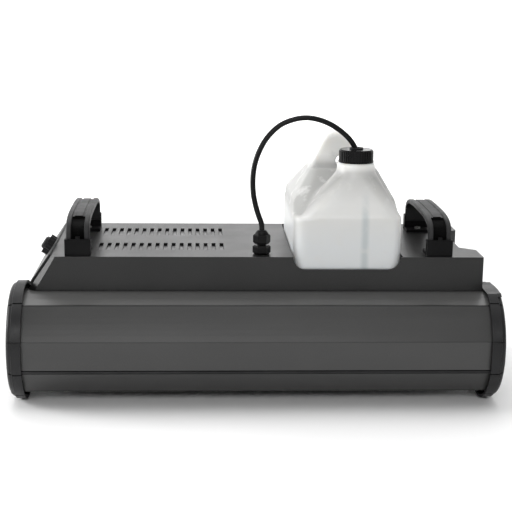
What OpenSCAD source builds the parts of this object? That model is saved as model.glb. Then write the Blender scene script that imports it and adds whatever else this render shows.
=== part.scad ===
// Stage fog machine: a round heater barrel with a fluid housing on top and behind it.
// Millimetres. Origin at the middle of the footprint, on the floor.
// +X runs to the control end, -Y to the front, +Z up.

/* [Barrel] */
// Length over both end caps
overall_length = 600; // [560:5:640]
// Radius of the barrel at its panel edges
barrel_r = 68; // [66:0.5:69]
// Outer radius of the end caps, which stand on the floor
cap_r = 73; // [72:0.5:75]
// Width of an end cap along the barrel
cap_width = 18; // [17:0.5:18]
// Thickness of the extruded barrel panels
panel_wall = 2.5; // [2:0.1:3]

/* [Housing] */
// Height of the top panel above the floor
top_z = 178; // [176:1:182]
// Depth of the housing from its front wall to its rear wall
housing_depth = 220; // [210:5:230]
// Sheet thickness of the housing
skin = 2; // [1.5:0.1:2.5]
// Left end of the top panel at the front edge
top_left_x = -246.5; // [-250:0.5:-240]
// Right end of the housing
right_x = 281.6; // [276:0.4:281.6]
// Slope of the left end, measured from the vertical
slope_angle = 33.8; // [32:0.2:35]
// Slope of the front wall's left edge, measured from the vertical
edge_angle = 30.4; // [28:0.2:32]

/* [Louvres] */
// Louvres in each of the two rows
louvre_count = 16; // [8:1:16]
// Distance between neighbouring louvres
louvre_pitch = 10.22; // [9:0.02:11]
// Width of a louvre slot
louvre_width = 5; // [4:0.1:6]

/* [Handles] */
// Length of a strap from front to rear
handle_span = 180.5; // [170:0.5:190]
// Width of a strap
handle_width = 29.4; // [26:0.2:34]
// Thickness of a strap
handle_thick = 6; // [5:0.5:7]
// Height of the arch above its straight ends
handle_rise = 26; // [22:1:30]

/* [Bottle] */
// Width of the bottle
bottle_width = 134; // [130:0.5:134.5]
// Depth of the bottle from front to rear
bottle_depth = 200; // [190:1:204]
// Wall thickness of the bottle
bottle_wall = 1.6; // [1.2:0.1:2]
// Outer diameter of the screw cap
bottle_cap_d = 43; // [42:0.5:44]

/* [Hose] */
// Outer diameter of the fluid hose
hose_d = 6.6; // [6:0.2:7]

/* [Hidden] */
$fn = 64;
eps = 0.01;

// Barrel and caps
half_length = overall_length / 2;
barrel_z = cap_r;
front_wall_y = -75.5;
rear_wall_y = front_wall_y + housing_depth;
barrel_y = front_wall_y + 4;
shell_end_x = half_length - 6;
cap_rim_x = half_length - cap_width;
bulkhead_x = half_length - 15;
bulkhead_thick = 3;
// Panel edges around the barrel, in degrees above the front horizontal, going down and round
facet_angles = [129, 51, 12, -21, -54, -90, -126, -159, -192, -231, -309];
facet_steps = 6;
facet_bulge = 0.6;
crown_bulge = 9.3;
wide_facet = 50;
seam_angle = 21;
groove_angle = 51;
cap_grooves = [129, 51, 12, -21, -54, -90, -126, -159, -192];
cap_trim = 65.6;
cap_shelf = 62.5;
seam_half = 1.4;
seam_gap = 0.9;

// Housing
wall_bottom_z = 135.2;
slope_out = 5;
bevel_depth = 7;
bay_depth = 19;
bay_near_y = front_wall_y + 45;
bay_cheek = 15;
bay_far_y = rear_wall_y - 45;
bay_x = right_x - bay_depth;
wall_height = top_z - wall_bottom_z;
slope_run = tan(slope_angle);
slope_top_x = top_left_x - slope_out;
function slope_x(z) = slope_top_x - (top_z - z) * slope_run;

// Pocket for the bottle
pocket_x0 = 45;
pocket_x1 = 181.2;
pocket_floor_z = 140.4;
tray_wall = 1.8;
pocket_y1 = rear_wall_y - skin - 2;
notch_z = 162.4;
notch_left = 60;
notch_right = 163;
notch_r = 15;

// Rear chassis
tray_x0 = -262;
tray_x1 = bay_x;
tray_y0 = 2;
tray_bottom_z = 8;
tray_top_z = wall_bottom_z - 0.2;
feet_x = [-200, 200];
feet_y = 112;
cover_screw_x = [-220, -80, 25, 220];

// Louvre rows: nearest and farthest distance behind the front wall
louvre_rows = [[41, 84], [136.5, 182]];
louvre_x0 = -195.2;
tongue_drop = 3;

// Handles
handle_x = [-219.2, 227.2];
handle_y0 = -68.5;
handle_mid_y = handle_y0 + handle_span / 2;
handle_straight_z = top_z + 22;
strap_end_z = top_z + 12;
foot_height = 20.5;
foot_wall = 1.2;
foot_fit = 0.3;
window_width = 15.8;
window_z0 = top_z + 19;
window_z1 = top_z + 43;
window_depth = 4;
boss_depth = 3.4;
arch_power = 2 / 3.5;
boss_width = 5;

// Gland and hose
gland_x = 6.8;
gland_y = -56;
gland_top_z = 210.5;
neck_x = 124.4;
neck_y = -33.5;
cap_bottom_z = 290.5;
cap_top_z = 306.5;
hose_route = [
    [6.8, -56, 165], [6.8, -56, 185], [6.8, -56, 204], [6.8, -56, 211], [6, -56, 217],
    [3, -55.5, 225], [-0.5, -55, 236], [-3.6, -53, 250], [-4.8, -51, 265], [-4, -49, 280],
    [-1, -47, 294], [5, -45, 309], [14, -43, 323], [28, -41, 336], [44, -40, 343],
    [60, -39, 345.5], [75, -38, 343.5], [90, -37, 338], [103, -36, 330], [113.5, -35, 321],
    [120.5, -34, 312], [123.5, -33.6, 305.5], [124.3, -33.5, 301], [124.4, -33.5, 296.2]
];
hose_sides = 10;
hose_rings = 60;

// Bottle
bottle_x0 = 46;
bottle_x1 = bottle_x0 + bottle_width;
bottle_y0 = -72;
bottle_y1 = bottle_y0 + bottle_depth;
bottle_z0 = pocket_floor_z + 0.3;
bottle_corner = 14;
collar_r = 25;
collar_z = 281;
neck_r = 19;
neck_bore = 16.5;
neck_top_z = 303;
loop_y0 = 22;
loop_y1 = 50;

// Heater
heater_x0 = -190;
heater_x1 = 90;
heater_r = 30;
sleeve_r = 42;
rod_r = 6;
rod_pitch = 18;
rod_fit = 0.1;
cradle_x = [-150, 50];

// Pump
pump_x0 = 40;
pump_x1 = 112;
pump_y = 84;
pump_z = 46;
pump_r = 24;
plunger_r = 8;
plunger_fit = 0.05;
plunger_length = 36;

// Control panel
panel_y0 = 0;
panel_y1 = 83;
panel_z0 = 14;
panel_z1 = 173;
panel_thick = 2;
panel_x = bay_x + 0.2;
panel_face_x = panel_x + panel_thick;
inlet_pos = [41, 38];
fuse_pos = [60, 82];
socket_pos = [24, 82];
rocker_pos = [24, 138];
lamp_pos = [60, 138];
rocker_tilt = 11;
fuse_cap_r = 7.5;
rocker_size = [13, 24];
socket_r = 12;

// Clamp knob on the sloping end plate
knob_y = front_wall_y + 76;
knob_r = 13.6;
knob_drop = 6.2;
plate_gap = 2.2;
plate_thick = 1.3;
plate_y0 = front_wall_y + 9;
plate_y1 = rear_wall_y - 9;
plate_top = 0.5;
plate_run = 46;

// ---------- helpers ----------

module box(lo, hi) {
    translate(lo) cube(hi - lo);
}

// A flat [Y, Z] outline drawn out along X
module along_x(x0, x1) {
    translate([x0, 0, 0]) rotate([90, 0, 90]) linear_extrude(x1 - x0) children();
}

// A flat [X, Z] outline drawn out along Y
module along_y(y0, y1) {
    translate([0, y1, 0]) rotate([90, 0, 0]) linear_extrude(y1 - y0) children();
}

module rod_x(x0, x1, y, z, r) {
    translate([x0, y, z]) rotate([0, 90, 0]) cylinder(h = x1 - x0, r = r);
}

module rod_y(y0, y1, x, z, r) {
    translate([x, y0, z]) rotate([-90, 0, 0]) cylinder(h = y1 - y0, r = r);
}

module rod_z(z0, z1, x, y, r) {
    translate([x, y, z0]) cylinder(h = z1 - z0, r = r);
}

// A pan-head screw whose head sits on z = 0 and whose shank points down
module screw(head_r, head_h, shank_r, length) {
    slot = head_r * 0.65;
    difference() {
        cylinder(h = head_h, r = head_r);
        box([-slot, -0.4, head_h * 0.4], [slot, 0.4, head_h + 1]);
        box([-0.4, -slot, head_h * 0.4], [0.4, slot, head_h + 1]);
    }
    translate([0, 0, -length]) cylinder(h = length + eps, r = shank_r);
}

// A rectangle with rounded corners
module rounded_rect(w, h, r) {
    union() {
        square([w - 2 * r, h], center = true);
        square([w, h - 2 * r], center = true);
        for (sx = [-1, 1]) for (sy = [-1, 1])
            translate([sx * (w / 2 - r), sy * (h / 2 - r)]) circle(r);
    }
}

// Outline moved to the sloping left end: x along the outward normal, y across, z up the slope
module on_slope() {
    translate([slope_top_x, 0, top_z]) rotate([0, slope_angle, 0]) children();
}

// ---------- barrel outline ----------

// Radius at angle t inside the facet between edges hi and lo
function facet_radius(t, hi, lo) =
    let (mid = (hi + lo) / 2, half = (hi - lo) / 2,
         bulge = hi - lo > wide_facet ? crown_bulge : facet_bulge)
    barrel_r * cos(half) / cos(t - mid) + bulge * (1 - pow((t - mid) / half, 2));

function facet_index(t) =
    [for (i = [0:len(facet_angles) - 2]) if (t <= facet_angles[i] && t >= facet_angles[i + 1]) i][0];

function barrel_point(t, inset) =
    let (i = facet_index(t), r = facet_radius(t, facet_angles[i], facet_angles[i + 1]) - inset)
    [barrel_y - r * cos(t), barrel_z + r * sin(t)];

// Angles from hi down to lo: both ends, every panel edge and even steps between the edges
function arc_angles(hi, lo) = concat([hi],
    [for (i = [0:len(facet_angles) - 2]) for (k = [0:facet_steps - 1])
        let (span = facet_angles[i] - facet_angles[i + 1], t = facet_angles[i] - span * k / facet_steps)
        if (t < hi - 0.5 && t > lo + 0.5) t],
    [lo]);

module barrel_panel(hi, lo, x, inset = 0) {
    angles = arc_angles(hi, lo);
    outer = [for (t = angles) barrel_point(t, inset)];
    inner = [for (i = [len(angles) - 1:-1:0]) barrel_point(angles[i], panel_wall)];
    along_x(-x, x) polygon(concat(outer, inner));
}

// The solid inside the barrel panels
module barrel_plug(x0, x1, inset) {
    along_x(x0, x1) polygon([for (t = arc_angles(129, -230.5)) barrel_point(t, inset)]);
}

// A shallow line along the barrel
module barrel_groove(t, width, depth) {
    p = barrel_point(t, 0);
    translate([0, p[0], p[1]]) rotate([t, 0, 0])
        box([-half_length, -depth, -width / 2], [half_length, depth, width / 2]);
}

// ---------- barrel parts ----------

module barrel_front_shell() {
    color([0.10, 0.10, 0.10]) difference() {
        barrel_panel(90, -seam_angle + seam_half + seam_gap, shell_end_x);
        barrel_groove(groove_angle, 1.6, 1.5);
    }
}

module barrel_lower_shell() {
    color([0.10, 0.10, 0.10]) barrel_panel(
        -seam_angle - seam_half - seam_gap, -180 + seam_angle + seam_half + seam_gap, shell_end_x);
}

module barrel_rear_shell() {
    color([0.10, 0.10, 0.10]) difference() {
        barrel_panel(-180 + seam_angle - seam_half - seam_gap, -269.6, shell_end_x);
        rod_y(-20, 2, 125, pump_z + 30, 5);
    }
}

module barrel_seam_strips() {
    color([0.07, 0.07, 0.07]) for (t = [-seam_angle, -180 + seam_angle])
        barrel_panel(t + seam_half, t - seam_half, shell_end_x - 0.5, -0.4);
}

module bulkhead(x0) {
    difference() {
        barrel_plug(x0, x0 + bulkhead_thick, panel_wall + 0.3);
        rod_x(x0 - 1, x0 + bulkhead_thick + 1, barrel_y, barrel_z, 16);
        for (a = [45:90:315])
            rod_x(x0 - 1, x0 + bulkhead_thick + 1,
                barrel_y + 52 * cos(a), barrel_z + 52 * sin(a), 1.75);
    }
}

module left_bulkhead() {
    color("silver") bulkhead(-bulkhead_x);
}

module right_bulkhead() {
    color("silver") bulkhead(bulkhead_x - bulkhead_thick);
}

// One end cap standing on z = 0 with its rim at the bottom and its outer face at cap_width
module end_cap(hole_r) {
    face = cap_width;
    edge = 5;
    difference() {
        rotate_extrude($fn = 120) polygon(concat(
            [[barrel_r + 1.6, 0], [cap_r, 0], [cap_r, 11.5], [cap_r - 2.6, 12.5]],
            [for (a = [0:15:90]) [cap_r - 2.6 - edge + edge * cos(a), face - edge + edge * sin(a)]],
            [[44, face], [39, face - 5], [hole_r, face - 5], [hole_r, face - 9], [40, face - 9],
             [45, face - 4], [barrel_r + 1.6, face - 4]]));
        for (t = cap_grooves)
            rotate([0, 0, t]) box([cap_r - 1.5, -0.8, -1], [cap_r + 1, 0.8, 11.4]);
        for (t = cap_grooves)
            rotate([0, 0, t]) box([cap_r - 4.4, -0.8, 12.4], [cap_r + 1, 0.8, face + 1]);
        for (a = [45:90:315]) rotate([0, 0, a]) translate([52, 0, 0]) {
            cylinder(h = face + 1, r = 2);
            translate([0, 0, face - 2]) cylinder(h = 3, r = 4.2);
        }
    }
}

// Cap frames: local X points to the front of the machine, local Y up and local Z outward
module at_left_end() {
    translate([-cap_rim_x, barrel_y, barrel_z]) rotate([0, -90, 0]) rotate([0, 0, -90]) children();
}

module at_right_end() {
    translate([cap_rim_x, barrel_y, barrel_z]) rotate([0, 90, 0]) rotate([0, 0, -90])
        mirror([0, 1, 0]) children();
}

module left_cap() {
    color([0.08, 0.08, 0.08]) at_left_end() end_cap(17);
}

module right_cap() {
    color([0.08, 0.08, 0.08]) at_right_end() difference() {
        union() {
            end_cap(6);
            // flat shelf that closes the trimmed top
            intersection() {
                cylinder(h = cap_width - 1, r = cap_r - 1);
                box([-42, cap_shelf, 0], [42, cap_trim + 2, cap_width - 1]);
            }
        }
        box([-80, cap_trim, -1], [80, 90, cap_width + 2]);
        for (a = [0:30:330])
            rotate([0, 0, a]) box([16, -2, 0], [34, 2, cap_width + 1]);
    }
}

module cap_screws() {
    color([0.3, 0.3, 0.3]) {
        at_left_end() four_cap_screws();
        at_right_end() four_cap_screws();
    }
}

module four_cap_screws() {
    for (a = [45:90:315]) rotate([0, 0, a]) translate([52, 0, cap_width - 1.9])
        screw(3.9, 1.7, 1.6, 15);
}

// ---------- nozzle and heater ----------

module nozzle_plate() {
    color("silver") difference() {
        rod_x(-half_length + 3.6, -half_length + 4.9, barrel_y, barrel_z, 34);
        rod_x(-half_length, -half_length + 8, barrel_y, barrel_z, 9.2);
        for (a = [0:60:300])
            rod_x(-half_length, -half_length + 8,
                barrel_y + 24 * cos(a), barrel_z + 24 * sin(a), 2.5);
    }
}

module fog_nozzle() {
    color([0.78, 0.62, 0.25]) difference() {
        union() {
            rod_x(-half_length + 1, -half_length + 26, barrel_y, barrel_z, 9);
            rod_x(-half_length + 26, heater_x0 - 0.1, barrel_y, barrel_z, 6);
            translate([-half_length + 30, barrel_y, barrel_z]) rotate([0, 90, 0])
                cylinder(h = 8, r = 11, $fn = 6);
        }
        rod_x(-half_length, heater_x0, barrel_y, barrel_z, 2);
        translate([-half_length + 1 - eps, barrel_y, barrel_z]) rotate([0, 90, 0])
            cylinder(h = 6, r1 = 6, r2 = 2);
    }
}

module heater_block() {
    color([0.75, 0.75, 0.75]) difference() {
        rod_x(heater_x0, heater_x1, barrel_y, barrel_z, heater_r);
        for (a = [90:120:330])
            rod_x(heater_x0 + 15, heater_x1 + 1,
                barrel_y + rod_pitch * cos(a), barrel_z + rod_pitch * sin(a), rod_r + rod_fit);
        rod_x(heater_x0 - 1, heater_x0 + 12, barrel_y, barrel_z, 2);
        rod_x(heater_x1 - 12, heater_x1 + 1, barrel_y, barrel_z, 3.1);
        for (x = [heater_x0 + 12:14:heater_x1 - 12])
            difference() {
                rod_x(x, x + 5, barrel_y, barrel_z, heater_r + 1);
                rod_x(x - 1, x + 6, barrel_y, barrel_z, heater_r - 2.5);
            }
    }
}

module heater_rods() {
    color([0.6, 0.6, 0.62]) for (a = [90:120:330])
        rod_x(heater_x0 + 16, heater_x1 + 14,
            barrel_y + rod_pitch * cos(a), barrel_z + rod_pitch * sin(a), rod_r);
}

module insulation_sleeve() {
    color([0.86, 0.84, 0.78]) difference() {
        rod_x(heater_x0 + 2, heater_x1 - 2, barrel_y, barrel_z, sleeve_r);
        rod_x(heater_x0, heater_x1, barrel_y, barrel_z, heater_r + 0.2);
    }
}

module heater_cradles() {
    color("silver") for (x = cradle_x) difference() {
        barrel_plug(x, x + 2, panel_wall + 0.3);
        rod_x(x - 1, x + 3, barrel_y, barrel_z, sleeve_r + 0.2);
        for (a = [45:90:315])
            rod_x(x - 1, x + 3, barrel_y + 52 * cos(a), barrel_z + 52 * sin(a), 5);
    }
}

module thermostat() {
    color([0.2, 0.2, 0.22]) {
        rod_x(heater_x1 + 0.1, heater_x1 + 3, barrel_y, barrel_z - 22, 6);
        rod_x(heater_x1 + 3 - eps, heater_x1 + 12, barrel_y, barrel_z - 22, 4.5);
    }
}

// A round tube with mitred corners through a list of points
function unit(v) = v / norm(v);

module pipe(points, r) {
    for (i = [0:len(points) - 2]) {
        d = points[i + 1] - points[i];
        translate(points[i]) rotate([0, acos(d[2] / norm(d)), atan2(d[1], d[0])])
            cylinder(h = norm(d), r = r);
        if (i > 0) translate(points[i]) sphere(r);
    }
}

module feed_pipe() {
    color([0.80, 0.50, 0.35]) pipe([
        [heater_x1 - 11, barrel_y, barrel_z], [heater_x1 + 35, barrel_y, barrel_z],
        [heater_x1 + 35, barrel_y, pump_z + 30], [heater_x1 + 35, 22, pump_z + 30],
        [heater_x1 + 35, 22, pump_z], [heater_x1 + 35, pump_y, pump_z],
        [pump_x1 + 4.2, pump_y, pump_z]], 3);
}

// ---------- pump ----------

module pump_body() {
    color([0.18, 0.18, 0.2]) difference() {
        union() {
            rod_x(pump_x0, pump_x1, pump_y, pump_z, pump_r);
            box([pump_x0 + 12, pump_y - 26, pump_z - 26], [pump_x1 - 12, pump_y + 26, pump_z + 26]);
            rod_x(pump_x1 - eps, pump_x1 + 4, pump_y, pump_z, 5);
            rod_x(pump_x0 - 12, pump_x0 + eps, pump_y, pump_z, 5);
        }
        rod_x(pump_x0 + 14, pump_x1 - 14, pump_y, pump_z, plunger_r + plunger_fit);
        rod_x(pump_x0 - 13, pump_x1 + 5, pump_y, pump_z, 2);
    }
}

module pump_plunger() {
    mid = (pump_x0 + pump_x1) / 2;
    color([0.7, 0.7, 0.72]) difference() {
        rod_x(mid - plunger_length / 2, mid + plunger_length / 2, pump_y, pump_z, plunger_r);
        rod_x(pump_x0, pump_x1, pump_y, pump_z, 1.5);
    }
}

module pump_bracket() {
    color("silver") {
        box([pump_x0 + 6, pump_y - 34, tray_bottom_z + skin], [pump_x1 - 6, pump_y + 34, pump_z - 26.1]);
    }
}

module suction_tube() {
    color([0.85, 0.85, 0.85]) swept_tube([
        [gland_x, gland_y, 164], [gland_x, gland_y, 158], [gland_x, gland_y + 6, 151],
        [gland_x, -30, 150], [gland_x, 10, 150], [gland_x, 21, 147], [gland_x, 26, 138],
        [gland_x, 28, 100], [gland_x, 34, 80], [gland_x, 55, 72], [gland_x, 76, 68],
        [gland_x, pump_y, 58], [12, pump_y, 48], [20, pump_y, pump_z],
        [pump_x0 - 12.2, pump_y, pump_z]], 2.6, 10, 42);
}

// ---------- electronics ----------

module control_board() {
    color([0.05, 0.30, 0.12]) box([-200, 20, 40], [-60, 110, 41.6]);
}

module board_spacers() {
    color("silver") for (x = [-194, -66]) for (y = [26, 104])
        rod_z(tray_bottom_z + skin, 40, x, y, 3);
}

module power_relay() {
    color([0.12, 0.12, 0.14]) {
        box([-190, 34, 41.6], [-162, 60, 62]);
        box([-152, 34, 41.6], [-124, 60, 62]);
        box([-112, 66, 41.6], [-70, 100, 78]);
        for (x = [-186:10:-126]) rod_z(41.6, 66, x, 88, 4);
    }
}

// ---------- housing ----------

module housing_outline(inset) {
    bottom = wall_bottom_z - (inset > 0 ? 1 : 0);
    x_in = inset / cos(slope_angle);
    polygon([[slope_x(top_z - inset) + x_in, top_z - inset], [right_x - inset, top_z - inset],
        [right_x - inset, bottom], [slope_x(bottom) + x_in, bottom]]);
}

// Everything outside the slanted corners between the sloping end and the front and rear walls
module corner_bevel(inset) {
    along = [-wall_height * tan(edge_angle), 0, -wall_height];
    bottom_x = top_left_x + along[0];
    across = [slope_x(wall_bottom_z) - bottom_x, bevel_depth, 0];
    out = unit(cross(across, along));
    for (s = [0, 1])
        translate([0, s * (front_wall_y + rear_wall_y), 0]) mirror([0, s, 0])
            translate([top_left_x, front_wall_y, top_z] - out * inset)
                rotate([0, acos(out[2]), atan2(out[1], out[0])])
                    box([-120, -60, 0], [120, 60, 40]);
}

// The control bay in the right end, widening outward
module control_bay(grow) {
    translate([0, 0, wall_bottom_z - 5]) linear_extrude(wall_height + 10) polygon([
        [right_x + 5, bay_near_y - grow], [right_x, bay_near_y - grow],
        [bay_x - grow, bay_near_y + bay_cheek - grow / 2],
        [bay_x - grow, bay_far_y - bay_cheek + grow / 2],
        [right_x, bay_far_y + grow], [right_x + 5, bay_far_y + grow]]);
}

module louvre_slots() {
    for (row = louvre_rows) for (i = [0:louvre_count - 1])
        translate([louvre_x0 + i * louvre_pitch, front_wall_y, top_z])
            box([-louvre_width / 2, row[0], -skin - 1], [louvre_width / 2, row[1], 1]);
}

// Tongues left standing in the slots, bent down at the rear
module louvre_tongues() {
    for (row = louvre_rows) for (i = [0:louvre_count - 1])
        translate([louvre_x0 + i * louvre_pitch, front_wall_y + row[0] - 1, top_z - 1.3])
            rotate([-asin(tongue_drop / (row[1] - row[0])), 0, 0])
                box([-louvre_width / 2 + 0.4, 0, 0], [louvre_width / 2 - 0.4, row[1] - row[0] - 0.5, 1.2]);
}

module front_notch() {
    along_y(front_wall_y - 1, front_wall_y + skin + 1) polygon(concat(
        [[pocket_x0 + 1, top_z + 1], [pocket_x0 + 1, top_z - 0.5]],
        [for (a = [0:15:75]) [notch_left - notch_r * cos(a), notch_z + notch_r * (1 - sin(a))]],
        [[notch_left, notch_z], [notch_right, notch_z]],
        [for (a = [75:-15:0]) [notch_right + notch_r * cos(a), notch_z + notch_r * (1 - sin(a))]],
        [[pocket_x1 - 1, top_z - 0.5], [pocket_x1 - 1, top_z + 1]]));
}

module housing_cover() {
    inner_y0 = front_wall_y + skin;
    inner_y1 = rear_wall_y - skin;
    color([0.09, 0.09, 0.09]) difference() {
        union() {
            difference() {
                along_y(front_wall_y, rear_wall_y) housing_outline(0);
                difference() {
                    along_y(inner_y0, inner_y1) housing_outline(skin);
                    control_bay(skin);
                    corner_bevel(skin);
                }
                louvre_slots();
            }
            louvre_tongues();
            handle_pads();
        }
        corner_bevel(0);
        control_bay(0);
        // opening for the bottle
        box([pocket_x0, inner_y0 - 0.5, top_z - skin - 1], [pocket_x1, pocket_y1, top_z + 1]);
        front_notch();
        rod_z(top_z - 10, top_z + 1, gland_x, gland_y, 8.1);
        for (x = handle_x) for (y = foot_screw_y())
            rod_z(top_z - 10, top_z + 1, x, y, 2.2);
        // opening behind the control panel
        box([bay_x - 3, tray_y0 + 6, wall_bottom_z - 1], [bay_x + 1, panel_y1 - 9, top_z - 12]);
        on_slope() translate([0, knob_y, -knob_drop]) rotate([0, -90, 0])
            translate([0, 0, -8]) cylinder(h = 12, r = 4.1);
        for (x = cover_screw_x) {
            rod_y(rear_wall_y - 5, rear_wall_y + 1, x, wall_bottom_z + 8, 2.1);
            rod_y(rear_wall_y - 1.35, rear_wall_y + 1, x, wall_bottom_z + 8, 3.7);
        }
    }
}

// Doubler plates under the handle feet
module handle_pads() {
    for (x = handle_x) for (y = foot_screw_y())
        translate([x, y, top_z - skin - 1.5]) box([-12, -8, 0], [12, 8, 1.6]);
}

module cover_screws() {
    color([0.25, 0.25, 0.25]) for (x = cover_screw_x)
        translate([x, rear_wall_y - 1.3, wall_bottom_z + 8]) rotate([-90, 0, 0])
            screw(3.6, 1.2, 1.9, 8);
}

// A folded tray for the bottle, hung under the opening: floor, three walls and a low front lip
module bottle_tray() {
    x0 = pocket_x0 - tray_wall;
    x1 = pocket_x1 + tray_wall;
    y0 = front_wall_y + skin + 0.2;
    y1 = pocket_y1 + tray_wall;
    z0 = pocket_floor_z - tray_wall;
    lip = 0.8;
    color([0.08, 0.08, 0.08]) difference() {
        box([x0, y0, z0], [x1, y1, top_z - skin - 0.2]);
        box([pocket_x0, y0 + lip, pocket_floor_z], [pocket_x1, pocket_y1, top_z]);
        box([pocket_x0, y0 - 1, notch_z - 2], [pocket_x1, y0 + 2, top_z]);
        for (x = [x0 + 30, x1 - 30]) for (y = [y0 + 90, y1 - 30]) rod_z(z0 - 1, z0 + 5, x, y, 3);
    }
}

module chassis_tray() {
    color([0.09, 0.09, 0.09]) difference() {
        box([tray_x0, tray_y0, tray_bottom_z], [tray_x1, rear_wall_y, tray_top_z]);
        box([tray_x0 + skin, tray_y0 + skin, tray_bottom_z + skin],
            [tray_x1 - skin, rear_wall_y - skin, tray_top_z + 1]);
        // the front wall stops below the pocket floor and lets pipes through
        box([tray_x0 + skin, tray_y0 - 1, 112], [tray_x1 - skin, tray_y0 + 3, tray_top_z + 1]);
        rod_y(tray_y0 - 1, tray_y0 + 3, heater_x1 + 35, pump_z + 30, 5);
        box([tray_x1 - 3, tray_y0 + 6, panel_z0 + 8], [tray_x1 + 1, panel_y1 - 9, tray_top_z + 1]);
        for (x = feet_x) rod_z(tray_bottom_z - 1, tray_bottom_z + 3, x, feet_y, 2.2);
        for (x = [-150:25:-50]) for (z = [60:12:96])
            translate([x, rear_wall_y - 4, z]) box([0, 0, 0], [16, 6, 4]);
    }
}

module rubber_feet() {
    color([0.05, 0.05, 0.05]) for (x = feet_x) {
        translate([x, feet_y, 0]) difference() {
            cylinder(h = tray_bottom_z, r1 = 11, r2 = 12.5);
            translate([0, 0, -1]) cylinder(h = 5, r = 5);
        }
        rod_z(tray_bottom_z - eps, tray_bottom_z + 5, x, feet_y, 2);
    }
}

// ---------- sloping end plate and clamp knob ----------

// A flat plate that lies along the slope
module slope_plate(offset_in, thick, border) {
    on_slope() box([-offset_in - thick, plate_y0 + border, -plate_run + border],
        [-offset_in, plate_y1 - border, -plate_top - border]);
}

module stud_hole(r) {
    on_slope() translate([0, knob_y, -knob_drop]) rotate([0, -90, 0])
        translate([0, 0, -10]) cylinder(h = 20, r = r);
}

module end_plate_gasket() {
    color([0.03, 0.03, 0.03]) difference() {
        slope_plate(0.05, plate_gap - 0.1, 1);
        stud_hole(4.2);
    }
}

module end_plate() {
    color([0.12, 0.12, 0.12]) difference() {
        slope_plate(plate_gap, plate_thick, 0);
        stud_hole(4.2);
    }
}

module knob_stud() {
    color("silver") on_slope() translate([0, knob_y, -knob_drop]) rotate([0, -90, 0])
        translate([0, 0, -14]) union() {
            cylinder(h = 23, r = 3);
            cylinder(h = 3, r = 7);
            translate([0, 0, 11]) cylinder(h = 3, r = 4);
        }
}

// Five-lobed hand knob with a blind bore that runs on the stud
module clamp_knob() {
    base = plate_gap + plate_thick + 0.3;
    lobes = 6;
    color([0.07, 0.07, 0.07]) on_slope() translate([0, knob_y, -knob_drop]) rotate([0, -90, 0])
        translate([0, 0, base]) difference() {
            union() {
                cylinder(h = 8, r = knob_r - 2.6);
                translate([0, 0, 8 - eps]) cylinder(h = 3, r1 = 9, r2 = 8);
                translate([0, 0, 11 - 2 * eps]) cylinder(h = 1.4, r1 = 8, r2 = 6);
                for (i = [0:lobes - 1]) rotate([0, 0, (i + 0.5) * 360 / lobes])
                    translate([knob_r - 4.4, 0, 0]) cylinder(h = 8, r = 4.4);
            }
            translate([0, 0, -1]) cylinder(h = 7.2, r = 3.06);
            for (i = [0:lobes - 1]) rotate([0, 0, i * 360 / lobes])
                translate([knob_r + 1.2, 0, -1]) cylinder(h = 10, r = 3.4);
        }
}

// ---------- handles ----------

function foot_y(end) = end == 0 ? handle_y0 : handle_y0 + handle_span;
function foot_screw_y() = [handle_y0 + 20, handle_y0 + handle_span - 20];

// Squared arch of the given half width and rise, from the angle a0 to a1
function arch_points(half, rise, a0, a1, steps) =
    [for (i = [0:steps]) let (a = a0 + (a1 - a0) * i / steps)
        [handle_mid_y + half * sign(cos(a)) * pow(abs(cos(a)), arch_power),
         handle_straight_z + rise * pow(abs(sin(a)), arch_power)]];

// Strap side view between two depths below its outer face: straight ends joined by a squared arch
module strap_outline(outer, inner) {
    half = handle_span / 2;
    polygon(concat(
        [[handle_mid_y - half + outer, strap_end_z]],
        arch_points(half - outer, handle_rise - outer, 180, 0, 36),
        [[handle_mid_y + half - outer, strap_end_z], [handle_mid_y + half - inner, strap_end_z]],
        arch_points(half - inner, handle_rise - inner, 0, 180, 36),
        [[handle_mid_y - half + inner, strap_end_z]]));
}

// The windows are blind: they stop short of the strap's inner face
module handle_strap(x) {
    difference() {
        along_x(x - handle_width / 2, x + handle_width / 2) strap_outline(0, handle_thick);
        intersection() {
            along_x(x - window_width / 2, x + window_width / 2) strap_outline(-2, window_depth);
            for (end = [0, 1])
                box([x - window_width / 2, foot_y(end) - 40, window_z0],
                    [x + window_width / 2, foot_y(end) + 40, window_z1]);
        }
    }
}

// One foot: a cover around the strap's end with a boss that fills the bottom of its window
module handle_foot(x, end) {
    y = foot_y(end);
    w = handle_width / 2 + foot_wall;
    fit = foot_fit;
    translate([x, y, top_z + 0.05]) mirror([0, end, 0]) difference() {
        union() {
            box([-w, -3, 0], [w, handle_thick + 3, foot_height]);
            box([-w, handle_thick, 0], [w, 28, 4]);
            // boss across the window
            box([-boss_width / 2, -3, foot_height - eps],
                [boss_width / 2, boss_depth, foot_height + 3]);
        }
        difference() {
            box([-handle_width / 2 - fit, -fit, 1], [handle_width / 2 + fit, handle_thick + fit, 40]);
            box([-boss_width / 2, -5, foot_height + 1], [boss_width / 2, boss_depth, foot_height + 3]);
        }
        // the inner wall is low, so the arch can sink between the side walls
        box([-handle_width / 2 - fit, handle_thick - 1, strap_end_z - top_z], [handle_width / 2 + fit, 30, 40]);
        box([-w - 1, handle_thick + fit, foot_height - 0.5], [w + 1, 30, 40]);
        translate([0, 20, -1]) cylinder(h = 8, r = 2.2);
    }
}

module left_handle_feet() {
    color([0.05, 0.05, 0.05]) for (end = [0, 1]) handle_foot(handle_x[0], end);
}

module right_handle_feet() {
    color([0.05, 0.05, 0.05]) for (end = [0, 1]) handle_foot(handle_x[1], end);
}

module left_handle_strap() {
    color([0.13, 0.13, 0.13]) handle_strap(handle_x[0]);
}

module right_handle_strap() {
    color([0.13, 0.13, 0.13]) handle_strap(handle_x[1]);
}

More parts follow.
